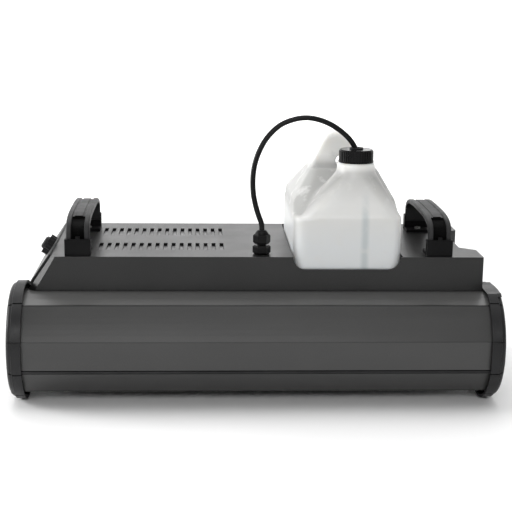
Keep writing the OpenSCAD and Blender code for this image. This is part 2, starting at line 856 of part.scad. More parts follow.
module handle_screws() {
    color("silver") for (x = handle_x) for (y = foot_screw_y())
        translate([x, y, top_z + 4.1]) screw(4, 2.2, 2, 12);
}

// ---------- gland and hose ----------

module gland_body() {
    color([0.05, 0.05, 0.05]) translate([gland_x, gland_y, top_z]) difference() {
        union() {
            cylinder(h = 2.5, r1 = 9.2, r2 = 11.2, $fn = 6);
            translate([0, 0, 2.5 - eps]) cylinder(h = 6.7, r = 11.2, $fn = 6);
            translate([0, 0, 9.2 - 2 * eps]) cylinder(h = 2, r1 = 11.2, r2 = 9.2, $fn = 6);
            translate([0, 0, -12]) cylinder(h = 12 + eps, r = 7.9);
            translate([0, 0, -12]) cylinder(h = 5, r = 10.5, $fn = 6);
            translate([0, 0, 11]) cylinder(h = 13, r = 5.4);
        }
        translate([0, 0, -15]) cylinder(h = 50, r = 3.5);
        translate([0, 0, -7]) difference() {
            cylinder(h = 5, r = 12);
            cylinder(h = 5, r = 7.9);
        }
    }
}

module gland_nut() {
    color([0.06, 0.06, 0.06]) translate([gland_x, gland_y, top_z]) difference() {
        union() {
            translate([0, 0, 13]) cylinder(h = 2, r1 = 9, r2 = 10.8, $fn = 6);
            translate([0, 0, 15 - eps]) cylinder(h = 8.4, r = 10.8, $fn = 6);
            translate([0, 0, 23.4 - 2 * eps]) cylinder(h = 1.6, r1 = 10.8, r2 = 9.2, $fn = 6);
            translate([0, 0, 25 - 3 * eps]) cylinder(h = 2.2, r1 = 8.8, r2 = 7.8);
            translate([0, 0, 27.2 - 4 * eps]) cylinder(h = 3.1, r1 = 7.8, r2 = 5);
        }
        translate([0, 0, 12]) cylinder(h = 12.3, r = 5.5);
        translate([0, 0, 12]) cylinder(h = 20, r = 3.5);
    }
}

// Catmull-Rom position along a list of points, u from 0 to len - 1
function spline_at(p, u) =
    let (n = len(p), i = min(floor(u), n - 2), t = u - i,
         a = p[max(i - 1, 0)], b = p[i], c = p[i + 1], d = p[min(i + 2, n - 1)])
    0.5 * ((2 * b) + (c - a) * t + (2 * a - 5 * b + 4 * c - d) * t * t
        + (3 * b - a - 3 * c + d) * t * t * t);

module swept_tube(route, r, sides, rings) {
    last = len(route) - 1;
    centres = [for (k = [0:rings]) spline_at(route, last * k / rings)];
    function heading(k) = unit(centres[min(k + 1, rings)] - centres[max(k - 1, 0)]);
    function ring(k) =
        let (t = heading(k), side = unit(cross([0, 1, 0], t)), up = cross(t, side))
        [for (j = [0:sides - 1]) let (a = 360 * j / sides)
            centres[k] + r * (side * cos(a) + up * sin(a))];
    points = [for (k = [0:rings]) each ring(k)];
    walls = [for (k = [0:rings - 1]) for (j = [0:sides - 1]) let (m = (j + 1) % sides)
        each [[k * sides + j, (k + 1) * sides + j, (k + 1) * sides + m],
              [k * sides + j, (k + 1) * sides + m, k * sides + m]]];
    polyhedron(points, concat(walls,
        [[for (j = [0:sides - 1]) j]],
        [[for (j = [sides - 1:-1:0]) rings * sides + j]]));
}

module fluid_hose() {
    color([0.03, 0.03, 0.03]) swept_tube(hose_route, hose_d / 2, hose_sides, hose_rings);
}

// ---------- bottle ----------

// Slab of the bottle's plan between two heights, shrunk by inset
module bottle_slab(z0, z1, inset, x0, x1, y0, y1) {
    r = bottle_corner - inset;
    for (x = [x0 + bottle_corner, x1 - bottle_corner])
        for (y = [y0 + bottle_corner, y1 - bottle_corner])
            translate([x, y, z0]) cylinder(h = z1 - z0, r = r, $fn = 32);
}

module bottle_volume(inset) {
    lo = bottle_z0 + inset;
    // lower body
    hull() bottle_slab(lo, 226 - inset, inset, bottle_x0, bottle_x1, bottle_y0, bottle_y1);
    // front tower up to the collar
    hull() {
        bottle_slab(215, 224 - inset, inset, bottle_x0 + 10, bottle_x1, bottle_y0, 20);
        rod_z(collar_z - 8 - inset, collar_z - inset, neck_x, neck_y, collar_r - inset, $fn = 32);
    }
    // rear shoulder
    hull() {
        bottle_slab(222, 240 - inset, inset, bottle_x0 + 1, bottle_x1 - 1, -10, bottle_y1 - 2);
        translate([78, loop_y0 - 12 + inset, 262])
            cube([70, loop_y1 - loop_y0 + 30 - 2 * inset, 4 - inset]);
    }
}

// The handle loop seen from the front
module loop_outline() {
    polygon([[66, 258], [72, 270], [80, 289], [88, 306], [94, 314], [101, 317.5], [110, 317],
        [118, 312], [127, 303], [139, 288], [152, 268], [156, 258]]);
}

module loop_hole() {
    hull() {
        translate([113, 284]) circle(9, $fn = 32);
        translate([125, 278]) circle(8, $fn = 32);
    }
}

module bottle() {
    color([0.9, 0.9, 0.88]) difference() {
        union() {
            bottle_volume(0);
            along_y(loop_y0, loop_y1) difference() {
                loop_outline();
                loop_hole();
            }
            rod_z(collar_z - 8, cap_bottom_z - 0.6, neck_x, neck_y, collar_r);
            rod_z(cap_bottom_z - 1, neck_top_z, neck_x, neck_y, neck_r);
        }
        bottle_volume(bottle_wall);
        rod_z(collar_z - 30, neck_top_z + 1, neck_x, neck_y, neck_bore);
    }
}

// Ribbed screw cap with a hole for the hose fitting
module bottle_cap() {
    r = bottle_cap_d / 2;
    ribs = 40;
    color([0.03, 0.03, 0.03]) translate([neck_x, neck_y, cap_bottom_z]) difference() {
        union() {
            cylinder(h = cap_top_z - cap_bottom_z - 0.6, r = r - 0.7);
            translate([0, 0, cap_top_z - cap_bottom_z - 0.6 - eps]) cylinder(h = 0.6, r = r - 1.5);
            cylinder(h = 1.8, r = r + 0.5);
            for (i = [0:ribs - 1]) rotate([0, 0, i * 360 / ribs])
                box([r - 1.5, -0.8, 0], [r, 0.8, cap_top_z - cap_bottom_z - 2]);
        }
        translate([0, 0, -1]) cylinder(h = neck_top_z - cap_bottom_z + 1.6, r = neck_r + 0.4);
        translate([0, 0, -1]) cylinder(h = 30, r = 6.1);
    }
}

// Fitting that holds the hose and the dip tube; the cap turns round it
module hose_grommet() {
    mouth_z = cap_top_z + 2;
    color([0.04, 0.04, 0.04]) translate([neck_x, neck_y, 0]) difference() {
        union() {
            translate([0, 0, cap_top_z + 0.3]) cylinder(h = mouth_z - cap_top_z - 0.3, r = 8.5);
            translate([0, 0, 286]) cylinder(h = cap_top_z - 286 + 1, r = 5.9);
            translate([0, 0, 284]) cylinder(h = 3, r = 9);
            translate([0, 0, 288]) difference() {
                cylinder(h = neck_top_z - 288 - 0.3, r = neck_bore - 0.3);
                translate([0, 0, -1]) cylinder(h = 20, r = neck_bore - 2);
            }
            for (a = [0:120:240]) rotate([0, 0, a])
                box([5, -1, 289], [neck_bore - 1, 1, 293]);
        }
        translate([0, 0, 296]) cylinder(h = 20, r = hose_d / 2 + 0.2);
        translate([0, 0, 298.5]) cylinder(h = mouth_z - 298.5, r1 = hose_d / 2 + 0.3, r2 = 6.3);
        translate([0, 0, mouth_z - eps]) cylinder(h = 2, r = 6.3);
        translate([0, 0, 280]) cylinder(h = 30, r = 2.9);
    }
}

module dip_tube() {
    color([0.55, 0.58, 0.6]) swept_tube([
        [neck_x, neck_y, 294], [neck_x, neck_y, 275], [126, neck_y, 250],
        [130, neck_y, 215], [133.4, neck_y, 180], [134, neck_y, 159]], 2.7, 10, 16);
}

module tube_filter() {
    color("silver") difference() {
        rod_z(143, 158, 134, neck_y, 6);
        for (z = [146:3:155]) for (a = [0:60:120])
            translate([134, neck_y, z]) rotate([0, 0, a]) box([-7, -0.8, 0], [7, 0.8, 1.2]);
    }
}

// ---------- control panel ----------

module panel_outline() {
    difference() {
        translate([(panel_y0 + panel_y1) / 2, (panel_z0 + panel_z1) / 2])
            rounded_rect(panel_y1 - panel_y0, panel_z1 - panel_z0, 4);
        translate(inlet_pos) square([28.4, 20.4], center = true);
        translate(fuse_pos) circle(6.7);
        translate(socket_pos) circle(socket_r + 0.2);
        translate(rocker_pos) square([rocker_size[0] + 6.4, rocker_size[1] + 6.4], center = true);
        translate(lamp_pos) circle(4.2);
        for (y = panel_screw_y()) for (z = panel_screw_z()) translate([y, z]) circle(2);
    }
}

function panel_screw_y() = [panel_y0 + 7, panel_y1 - 7];
function panel_screw_z() = [panel_z0 + 7, panel_z1 - 7];

module control_panel() {
    color([0.14, 0.14, 0.14]) along_x(panel_x, panel_face_x) panel_outline();
}

module panel_screws() {
    color("silver") for (y = panel_screw_y()) for (z = panel_screw_z())
        translate([panel_face_x + 0.02, y, z]) rotate([0, 90, 0]) screw(3.4, 1.8, 1.8, 2.1);
}

// Appliance inlet: a flange, a body and a recessed socket with three blades
module mains_inlet() {
    color([0.04, 0.04, 0.04]) translate([panel_face_x + 0.02, inlet_pos[0], inlet_pos[1]]) union() {
        difference() {
            union() {
                along_x(0, 3) rounded_rect(48, 28, 5);
                along_x(-22, eps) rounded_rect(28, 20, 3);
            }
            along_x(-16, 4) rounded_rect(24, 16, 4);
            for (y = [-20, 20]) rod_x(-1, 4, y, 0, 1.6);
        }
        for (y = [-7, 7]) box([-17, y - 2, -5.4], [-1, y + 2, -3.8]);
        box([-17, -2, 3.8], [-1, 2, 5.4]);
    }
}

module rocker_frame() {
    w = rocker_size[0];
    h = rocker_size[1];
    color([0.04, 0.04, 0.04]) translate([panel_face_x + 0.02, rocker_pos[0], rocker_pos[1]])
        difference() {
            union() {
                along_x(0, 1.8) rounded_rect(w + 10, h + 10, 2);
                along_x(-20, eps) square([w + 6, h + 6], center = true);
            }
            along_x(-12, 3) square([w + 0.8, h + 0.8], center = true);
        }
}

// The rocker tilts about a line across its middle
module power_rocker() {
    w = rocker_size[0];
    h = rocker_size[1];
    color([0.75, 0.05, 0.05]) translate([panel_face_x - 3, rocker_pos[0], rocker_pos[1]])
        rotate([0, -rocker_tilt, 0]) translate([0, w / 2, 0]) rotate([90, 0, 0]) linear_extrude(w) polygon([
            [-6, -4], [-6, 4], [0, h / 2 - 1.2], [5.6, h / 2 - 0.9], [4.2, 0], [5.6, -h / 2 + 0.9],
            [0, -h / 2 + 1.2]]);
}

module fuse_base() {
    color([0.04, 0.04, 0.04]) translate([panel_face_x + 0.02, fuse_pos[0], fuse_pos[1]]) difference() {
        union() {
            rod_x(0, 2, 0, 0, 9);
            rod_x(-26, eps, 0, 0, 6.5);
        }
        rod_x(-22, 3, 0, 0, 5.06);
    }
}

module fuse_cap() {
    color([0.06, 0.06, 0.06]) translate([panel_face_x + 0.02, fuse_pos[0], fuse_pos[1]]) difference() {
        union() {
            rod_x(2.3, 8, 0, 0, fuse_cap_r);
            rod_x(-18, 2.4, 0, 0, 5);
        }
        box([6, -5, -0.7], [9, 5, 0.7]);
    }
}

module remote_socket() {
    color([0.6, 0.6, 0.62]) translate([panel_face_x + 0.02, socket_pos[0], socket_pos[1]]) union() {
        difference() {
            union() {
                along_x(0, 2.2) rounded_rect(28, 32, 4);
                rod_x(-18, eps, 0, 0, socket_r);
            }
            rod_x(-10, 3, 0, 0, 9);
            for (s = [-1, 1]) rod_x(-1, 3, s * 10.5, s * 12.5, 1.4);
        }
        for (a = [0:72:288]) rod_x(-11, -2, 5 * cos(a), 5 * sin(a), 1);
    }
}

module ready_lamp() {
    color([0.1, 0.8, 0.2]) translate([panel_face_x + 0.02, lamp_pos[0], lamp_pos[1]]) {
        rod_x(-14, 1.4, 0, 0, 4);
        rod_x(0, 1.5, 0, 0, 5.2);
        translate([1.4, 0, 0]) intersection() {
            sphere(4);
            rod_x(0, 5, 0, 0, 5);
        }
    }
}

housing_cover();
bottle_tray();
chassis_tray();
rubber_feet();
cover_screws();
barrel_front_shell();
barrel_lower_shell();
barrel_rear_shell();
barrel_seam_strips();
left_bulkhead();
right_bulkhead();
left_cap();
right_cap();
cap_screws();
nozzle_plate();
fog_nozzle();
heater_block();
heater_rods();
insulation_sleeve();
heater_cradles();
thermostat();
feed_pipe();
pump_body();
pump_bracket();
suction_tube();
control_board();
board_spacers();
power_relay();
control_panel();
panel_screws();
mains_inlet();
rocker_frame();
fuse_base();
remote_socket();
ready_lamp();
left_handle_feet();
right_handle_feet();
handle_screws();
gland_body();
gland_nut();
end_plate_gasket();
end_plate();
knob_stud();
fluid_hose();
power_rocker();
fuse_cap();
clamp_knob();
left_handle_strap();
right_handle_strap();
pump_plunger();
bottle();
hose_grommet();
dip_tube();
tube_filter();
bottle_cap();
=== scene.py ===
"""Stage fog machine: materials, soft parts, floor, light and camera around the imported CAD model."""

import math

import bmesh
import bpy
from mathutils import Matrix, Vector


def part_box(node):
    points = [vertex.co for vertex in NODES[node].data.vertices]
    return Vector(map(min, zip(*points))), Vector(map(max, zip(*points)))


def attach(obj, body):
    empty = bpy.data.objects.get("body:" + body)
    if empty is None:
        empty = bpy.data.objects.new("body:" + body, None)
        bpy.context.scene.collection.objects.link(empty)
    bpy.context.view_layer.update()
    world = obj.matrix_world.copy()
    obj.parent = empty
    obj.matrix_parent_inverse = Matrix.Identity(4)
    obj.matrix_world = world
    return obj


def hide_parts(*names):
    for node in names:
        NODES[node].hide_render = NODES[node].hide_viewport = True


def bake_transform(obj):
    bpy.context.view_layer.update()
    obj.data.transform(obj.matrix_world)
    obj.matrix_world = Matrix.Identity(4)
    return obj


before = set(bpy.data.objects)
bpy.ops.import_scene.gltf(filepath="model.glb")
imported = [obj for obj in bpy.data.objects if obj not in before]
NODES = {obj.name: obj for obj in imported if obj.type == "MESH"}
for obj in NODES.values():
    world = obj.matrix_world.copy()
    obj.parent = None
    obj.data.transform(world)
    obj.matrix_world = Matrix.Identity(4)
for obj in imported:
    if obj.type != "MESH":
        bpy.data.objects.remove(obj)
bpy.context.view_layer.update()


# ---------- camera ----------

def look_from(place, yaw, pitch, roll, lens):
    """Adds the camera. All its angles are in degrees.

    yaw turns it towards +X, pitch tips it down and roll lifts its right side.
    """
    yaw, pitch, roll = (math.radians(a) for a in (yaw, pitch, roll))
    forward = Vector((math.sin(yaw) * math.cos(pitch), math.cos(yaw) * math.cos(pitch), -math.sin(pitch)))
    level = Vector((math.cos(yaw), -math.sin(yaw), 0))
    above = level.cross(forward)
    right = level * math.cos(roll) + above * math.sin(roll)
    up = above * math.cos(roll) - level * math.sin(roll)
    data = bpy.data.cameras.new("camera")
    data.lens = lens
    data.sensor_width = 36
    data.clip_end = 60
    camera = bpy.data.objects.new("camera", data)
    camera.matrix_world = Matrix.Translation(place) @ Matrix((right, up, -forward)).transposed().to_4x4()
    bpy.context.scene.collection.objects.link(camera)
    bpy.context.scene.camera = camera


look_from((-0.0751, -1.5854, 0.5078), yaw=2.81, pitch=12.26, roll=0.71, lens=88.6)


# ---------- mesh helpers ----------

def add_mesh(name, verts, faces, smooth=True):
    """Adds a mesh object; smooth shades all its faces smooth."""
    data = bpy.data.meshes.new(name)
    data.from_pydata([tuple(v) for v in verts], [], faces)
    if smooth:
        data.polygons.foreach_set("use_smooth", [True] * len(data.polygons))
    data.update()
    obj = bpy.data.objects.new(name, data)
    bpy.context.scene.collection.objects.link(obj)
    return obj


def apply_modifiers(obj):
    """Replaces obj's mesh by its modified one."""
    graph = bpy.context.evaluated_depsgraph_get()
    done = bpy.data.meshes.new_from_object(obj.evaluated_get(graph))
    obj.modifiers.clear()
    old = obj.data
    obj.data = done
    done.name = old.name
    bpy.data.meshes.remove(old)


def outward(obj):
    """Points every face of a closed mesh outward."""
    mesh = bmesh.new()
    mesh.from_mesh(obj.data)
    bmesh.ops.recalc_face_normals(mesh, faces=mesh.faces)
    mesh.to_mesh(obj.data)
    mesh.free()
    return obj


def cut(obj, tool):
    """Cuts the closed mesh tool out of obj and removes the tool."""
    step = obj.modifiers.new("cut", "BOOLEAN")
    step.operation = "DIFFERENCE"
    step.solver = "EXACT"
    step.object = tool
    apply_modifiers(obj)
    bpy.data.objects.remove(tool)


def spline(points, steps):
    """A Catmull-Rom curve through the points, with that many steps between neighbours."""
    points = [Vector(p) for p in points]
    out = []
    for i in range(len(points) - 1):
        a, b = points[max(i - 1, 0)], points[i]
        c, d = points[i + 1], points[min(i + 2, len(points) - 1)]
        for k in range(steps):
            t = k / steps
            out.append(0.5 * (2 * b + (c - a) * t + (2 * a - 5 * b + 4 * c - d) * t * t
                              + (3 * b - a - 3 * c + d) * t ** 3))
    out.append(points[-1])
    return out


def sweep(name, path, section, across):
    """Sweeps a closed section along the path. section(place 0..1) gives its (across, out) pairs."""
    verts, faces = [], []
    for i, centre in enumerate(path):
        ahead = (path[min(i + 1, len(path) - 1)] - path[max(i - 1, 0)]).normalized()
        side = Vector(across)
        side = (side - ahead * side.dot(ahead)).normalized()
        top = ahead.cross(side)
        ring = section(i / (len(path) - 1))
        verts += [centre + side * s + top * t for s, t in ring]
    count = len(ring)
    for i in range(len(path) - 1):
        for j in range(count):
            k = (j + 1) % count
            faces.append((i * count + j, i * count + k, (i + 1) * count + k, (i + 1) * count + j))
    faces.append(tuple(reversed(range(count))))
    faces.append(tuple(range(len(verts) - count, len(verts))))
    return outward(add_mesh(name, verts, faces))


def hull_of(points):
    """Vertices and faces of the convex hull of the points."""
    mesh = bmesh.new()
    for p in points:
        mesh.verts.new(p)
    result = bmesh.ops.convex_hull(mesh, input=mesh.verts)
    loose = {e for key in ("geom_interior", "geom_unused") for e in result[key]
             if isinstance(e, bmesh.types.BMVert)}
    bmesh.ops.delete(mesh, geom=list(loose), context="VERTS")
    bmesh.ops.recalc_face_normals(mesh, faces=mesh.faces)
    mesh.verts.index_update()
    verts = [v.co.copy() for v in mesh.verts]
    faces = [tuple(v.index for v in f.verts) for f in mesh.faces]
    mesh.free()
    return verts, faces


# ---------- fluid hose ----------

HOSE_D = 0.0066
HOSE_ROUTE = [
    (0.0068, -0.056, 0.1905), (0.0068, -0.056, 0.204), (0.0068, -0.056, 0.211), (0.006, -0.056, 0.217),
    (0.003, -0.0555, 0.225), (-0.0005, -0.055, 0.236), (-0.0036, -0.053, 0.250), (-0.0048, -0.051, 0.265),
    (-0.004, -0.049, 0.280), (-0.001, -0.047, 0.294), (0.005, -0.045, 0.309), (0.014, -0.043, 0.323),
    (0.028, -0.041, 0.336), (0.044, -0.040, 0.343), (0.060, -0.039, 0.3455), (0.075, -0.038, 0.3435),
    (0.090, -0.037, 0.338), (0.103, -0.036, 0.330), (0.1135, -0.035, 0.321), (0.1205, -0.034, 0.312),
    (0.1235, -0.0336, 0.3055), (0.1243, -0.0335, 0.301), (0.1244, -0.0335, 0.2962)]
HOSE_SIDES = 20


def hose_section(_place):
    turn = 2 * math.pi / HOSE_SIDES
    return [(HOSE_D / 2 * math.cos(turn * j), HOSE_D / 2 * math.sin(turn * j)) for j in range(HOSE_SIDES)]


hose_path = spline(HOSE_ROUTE, 8)
hose = sweep("fluid_hose_visual", hose_path, hose_section, (0, 1, 0))
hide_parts("fluid_hose")
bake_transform(hose)


# ---------- materials ----------

class Shader:
    """A Principled material built from small procedural steps in object space."""

    def __init__(self, name, color, rough, metallic=0.0, **fixed):
        self.material = bpy.data.materials.new(name)
        self.material.use_nodes = True
        self.tree = self.material.node_tree
        self.bsdf = self.tree.nodes["Principled BSDF"]
        self.place = self.add("ShaderNodeTexCoord").outputs["Object"]
        self.bsdf.inputs["Base Color"].default_value = (*color, 1)
        self.bsdf.inputs["Roughness"].default_value = rough
        self.bsdf.inputs["Metallic"].default_value = metallic
        for key, value in fixed.items():
            self.bsdf.inputs[key.replace("_", " ")].default_value = value
        self.color = color
        self.paint = None

    def add(self, kind, **values):
        node = self.tree.nodes.new(kind)
        for key, value in values.items():
            setattr(node, key, value)
        return node

    def link(self, a, b):
        self.tree.links.new(a, b)

    def noise(self, scale, detail=3.0, stretch=(1, 1, 1), rough=0.55):
        """Noise value 0..1; stretch scales the three axes."""
        mapping = self.add("ShaderNodeMapping")
        mapping.inputs["Scale"].default_value = stretch
        self.link(self.place, mapping.inputs["Vector"])
        node = self.add("ShaderNodeTexNoise")
        node.inputs["Scale"].default_value = scale
        node.inputs["Detail"].default_value = detail
        node.inputs["Roughness"].default_value = rough
        self.link(mapping.outputs["Vector"], node.inputs["Vector"])
        return node.outputs["Fac"]

    def spread(self, value, low, high, to_low=0.0, to_high=1.0):
        """Maps value from low..high to to_low..to_high, clamped."""
        node = self.add("ShaderNodeMapRange")
        for key, number in (("From Min", low), ("From Max", high), ("To Min", to_low), ("To Max", to_high)):
            node.inputs[key].default_value = number
        self.link(value, node.inputs["Value"])
        return node.outputs["Result"]

    def mix_in(self, factor, color):
        """Paints color over what is there, where factor is 1."""
        node = self.add("ShaderNodeMix", data_type="RGBA")
        node.inputs["A"].default_value = (*self.color, 1)
        if self.paint is not None:
            self.link(self.paint, node.inputs["A"])
        node.inputs["B"].default_value = (*color, 1)
        self.link(factor, node.inputs["Factor"])
        self.paint = node.outputs["Result"]
        self.link(self.paint, self.bsdf.inputs["Base Color"])
        return self

    def mottle(self, scale, color, low=0.4, high=0.7, **how):
        """Drifts the colour towards another in soft patches."""
        return self.mix_in(self.spread(self.noise(scale, **how), low, high), color)

    def sheen_range(self, scale, low, high, **how):
        """Roughness that varies between low and high."""
        self.link(self.spread(self.noise(scale, **how), 0.3, 0.7, low, high), self.bsdf.inputs["Roughness"])
        return self

    def grain(self, layers):
        """Bump from (scale, strength, distance, stretch) layers."""
        normal = None
        for scale, strength, distance, stretch in layers:
            bump = self.add("ShaderNodeBump")
            bump.inputs["Strength"].default_value = strength
            bump.inputs["Distance"].default_value = distance
            self.link(self.noise(scale, 4, stretch), bump.inputs["Height"])
            if normal is not None:
                self.link(normal, bump.inputs["Normal"])
            normal = bump.outputs["Normal"]
        self.link(normal, self.bsdf.inputs["Normal"])
        return self

    def axis(self, name):
        """One object-space coordinate."""
        node = self.add("ShaderNodeSeparateXYZ")
        self.link(self.place, node.inputs[0])
        return node.outputs[name]

    def math(self, operation, a, b=None):
        node = self.add("ShaderNodeMath", operation=operation)
        for slot, value in enumerate((a, b)):
            if value is None:
                continue
            if isinstance(value, (int, float)):
                node.inputs[slot].default_value = value
            else:
                self.link(value, node.inputs[slot])
        return node.outputs[0]


EVEN = (1, 1, 1)


def powder_coat():
    """Black powder-coated sheet: a fine orange-peel grain and slow changes of sheen."""
    s = Shader("black_powder_coat", (0.006, 0.006, 0.0059), 0.38, IOR=1.45)
    s.mottle(9, (0.008, 0.008, 0.0078)).mottle(700, (0.012, 0.012, 0.0115), 0.5, 0.8)
    s.sheen_range(14, 0.35, 0.42)
    return s.grain([(1100, 0.10, 0.0003, EVEN)]).material


# Barrel front, as a fade in Y, and its crown above the groove, as a fade in Z, where a painted highlight
# makes the crown paler
BARREL_FRONT_Y = (-0.072, -0.080)
LIT_CROWN_Z = (0.1262, 0.1268)
# Height, half width and strength of the dark lines of painted shade at the grooves, creases and edges along
# the barrel's front
GROOVE_SHADE_LINES = [(0.1258, 0.0011, 1.0), (0.0871, 0.0007, 0.8), (0.0186, 0.0009, 0.9)]


def extrusion():
    """Black coated extrusion: faint drawing lines along X, a crown painted paler as a highlight and dark
    lines of painted shade at the edges.
    """
    s = Shader("black_extrusion", (0.026, 0.026, 0.0256), 0.36, IOR=1.55)
    s.mottle(7, (0.030, 0.030, 0.0295)).mottle(900, (0.036, 0.036, 0.035), 0.5, 0.8)
    s.sheen_range(30, 0.31, 0.40, stretch=(0.05, 1, 1))
    y, z = s.axis("Y"), s.axis("Z")
    front = s.spread(y, *BARREL_FRONT_Y)
    # Painted highlight: the crown above the groove is painted paler, as the light above falls on it
    s.mix_in(s.math("MULTIPLY", front, s.spread(z, *LIT_CROWN_Z)), (0.075, 0.075, 0.0735))
    # Painted shade: dark lines where shade falls in the barrel's grooves, creases and edges
    for height, half, strength in GROOVE_SHADE_LINES:
        off = s.math("ABSOLUTE", s.math("SUBTRACT", z, height))
        line = s.math("MULTIPLY", s.spread(off, half, half * 0.6), strength)
        s.mix_in(s.math("MULTIPLY", front, line), (0.001, 0.001, 0.001))
    return s.grain([(700, 0.10, 0.0002, (0.02, 1, 1)), (1500, 0.08, 0.0002, EVEN)]).material


def moulded(name, color, rough, lift=1.5, ior=1.35):
    """Moulded plastic or rubber with a fine spark-eroded grain."""
    s = Shader(name, color, rough, IOR=ior)
    s.mottle(25, tuple(c * lift for c in color))
    s.sheen_range(60, rough - 0.06, rough + 0.07)
    return s.grain([(1400, 0.2, 0.0002, EVEN), (300, 0.08, 0.0003, EVEN)]).material


def metal(name, color, rough, stretch=EVEN, stain=0.75):
    """Bare metal with brushed or cast variation."""
    s = Shader(name, color, rough, metallic=1.0)
    s.mottle(40, tuple(c * stain for c in color), stretch=stretch)
    s.sheen_range(150, rough - 0.08, rough + 0.1, stretch=stretch)
    return s.grain([(900, 0.12, 0.0002, stretch)]).material


# Fades of the jug's tone, each from nothing to full: the painted shade in the recess behind the front tower,
# the loop made pale by painted light, the fluid line, the cooler base and the dip tube's shadow on the front
RECESS_SHADE_Y = (-0.067, -0.052)
RECESS_SHADE_LOW_Z = (0.212, 0.226)
RECESS_SHADE_HIGH_Z = (0.287, 0.273)
LOOP_LIGHT_Z = (0.280, 0.292)
FLUID_Z = (0.232, 0.196)
BASE_Z = (0.175, 0.142)
FLUID_WAVE = 0.012
TUBE_SHADOW_X = 0.1335
TUBE_SHADOW_HALF = 0.0065
TUBE_SHADOW_Y = (-0.045, -0.060)
TUBE_SHADOW_Z = (0.262, 0.225)
TUBE_SHADOW_STRENGTH = 0.8


def jug_plastic():
    """Natural polyethylene: milky, cooler below the fluid line, with painted shade greying its recess and
    painted light making its loop paler.

    The dip tube shows as a soft streak through the front.
    """
    s = Shader("jug_polyethylene", (0.63, 0.63, 0.617), 0.36, Subsurface_Weight=0.55,
               Subsurface_Scale=0.012, IOR=1.5)
    s.bsdf.inputs["Subsurface Radius"].default_value = (1.0, 0.95, 0.85)
    x, y, z = (s.axis(name) for name in "XYZ")
    # Painted shade: the recess behind the front tower is painted greyer
    behind = s.math("MULTIPLY", s.spread(y, *RECESS_SHADE_Y), s.spread(z, *RECESS_SHADE_LOW_Z))
    s.mix_in(s.math("MULTIPLY", behind, s.spread(z, *RECESS_SHADE_HIGH_Z)), (0.35, 0.35, 0.34))
    # Painted light: the thin loop is painted paler, as light shines through it
    s.mix_in(s.spread(z, *LOOP_LIGHT_Z), (0.80, 0.80, 0.78))
    wet = s.math("ADD", z, s.math("MULTIPLY", s.noise(16), FLUID_WAVE))
    s.mix_in(s.spread(wet, *FLUID_Z), (0.625, 0.64, 0.645))
    s.mix_in(s.spread(wet, *BASE_Z), (0.60, 0.625, 0.635))
    across = s.math("ABSOLUTE", s.math("SUBTRACT", x, TUBE_SHADOW_X))
    streak = s.spread(across, TUBE_SHADOW_HALF, TUBE_SHADOW_HALF * 0.25)
    front = s.spread(y, *TUBE_SHADOW_Y)
    high = s.math("MULTIPLY", s.spread(z, *TUBE_SHADOW_Z), TUBE_SHADOW_STRENGTH)
    s.mix_in(s.math("MULTIPLY", s.math("MULTIPLY", streak, front), high), (0.44, 0.48, 0.49))
    s.mottle(55, (0.62, 0.623, 0.61), 0.55, 0.8)
    return s.grain([(26, 0.12, 0.002, EVEN), (600, 0.08, 0.0002, EVEN)]).material


MATERIALS = {
    "coat": powder_coat(),
    "extrusion": extrusion(),
    "cap": moulded("cap_plastic", (0.008, 0.008, 0.0085), 0.42),
    "black": moulded("black_plastic", (0.006, 0.006, 0.0064), 0.4, 1.5, 1.3),
    "rubber": moulded("black_rubber", (0.009, 0.009, 0.0095), 0.52, 1.9),
    "nylon": moulded("black_nylon", (0.0035, 0.0035, 0.0037), 0.32, 1.5, 1.2),
    "hose": moulded("hose_rubber", (0.004, 0.004, 0.0043), 0.34, 1.5, 1.25),
    "strap": moulded("strap_rubber", (0.014, 0.014, 0.0145), 0.5, 1.5),
    "foot": moulded("foot_plastic", (0.0035, 0.0035, 0.0037), 0.5, 1.5, 1.2),
    # Near-black painted shade for the floors of the strap windows, which look dark inside
    "shade": moulded("window_painted_shade", (0.0012, 0.0012, 0.0012), 0.75, 1.2, 1.15),
    "lid": moulded("lid_plastic", (0.003, 0.003, 0.0032), 0.22, 1.5, 1.25),
    "jug": jug_plastic(),
    "tube": moulded("clear_tube", (0.45, 0.52, 0.56), 0.25, 1.1),
    "red": moulded("red_rocker", (0.45, 0.012, 0.012), 0.25, 1.2),
    "green": moulded("green_lens", (0.08, 0.5, 0.1), 0.15, 1.3),
    "board": moulded("circuit_board", (0.015, 0.11, 0.05), 0.3, 1.4),
    "relay": moulded("relay_case", (0.09, 0.09, 0.1), 0.4),
    "wool": moulded("ceramic_wool", (0.62, 0.6, 0.54), 0.9, 1.15),
    "zinc": metal("zinc_plate", (0.62, 0.62, 0.6), 0.28),
    "sheet": metal("raw_sheet", (0.5, 0.5, 0.5), 0.35, (0.08, 1, 1)),
    "aluminium": metal("cast_aluminium", (0.6, 0.6, 0.61), 0.45),
    "brass": metal("turned_brass", (0.62, 0.45, 0.2), 0.28),
    "steel": metal("machined_steel", (0.52, 0.52, 0.53), 0.3),
}

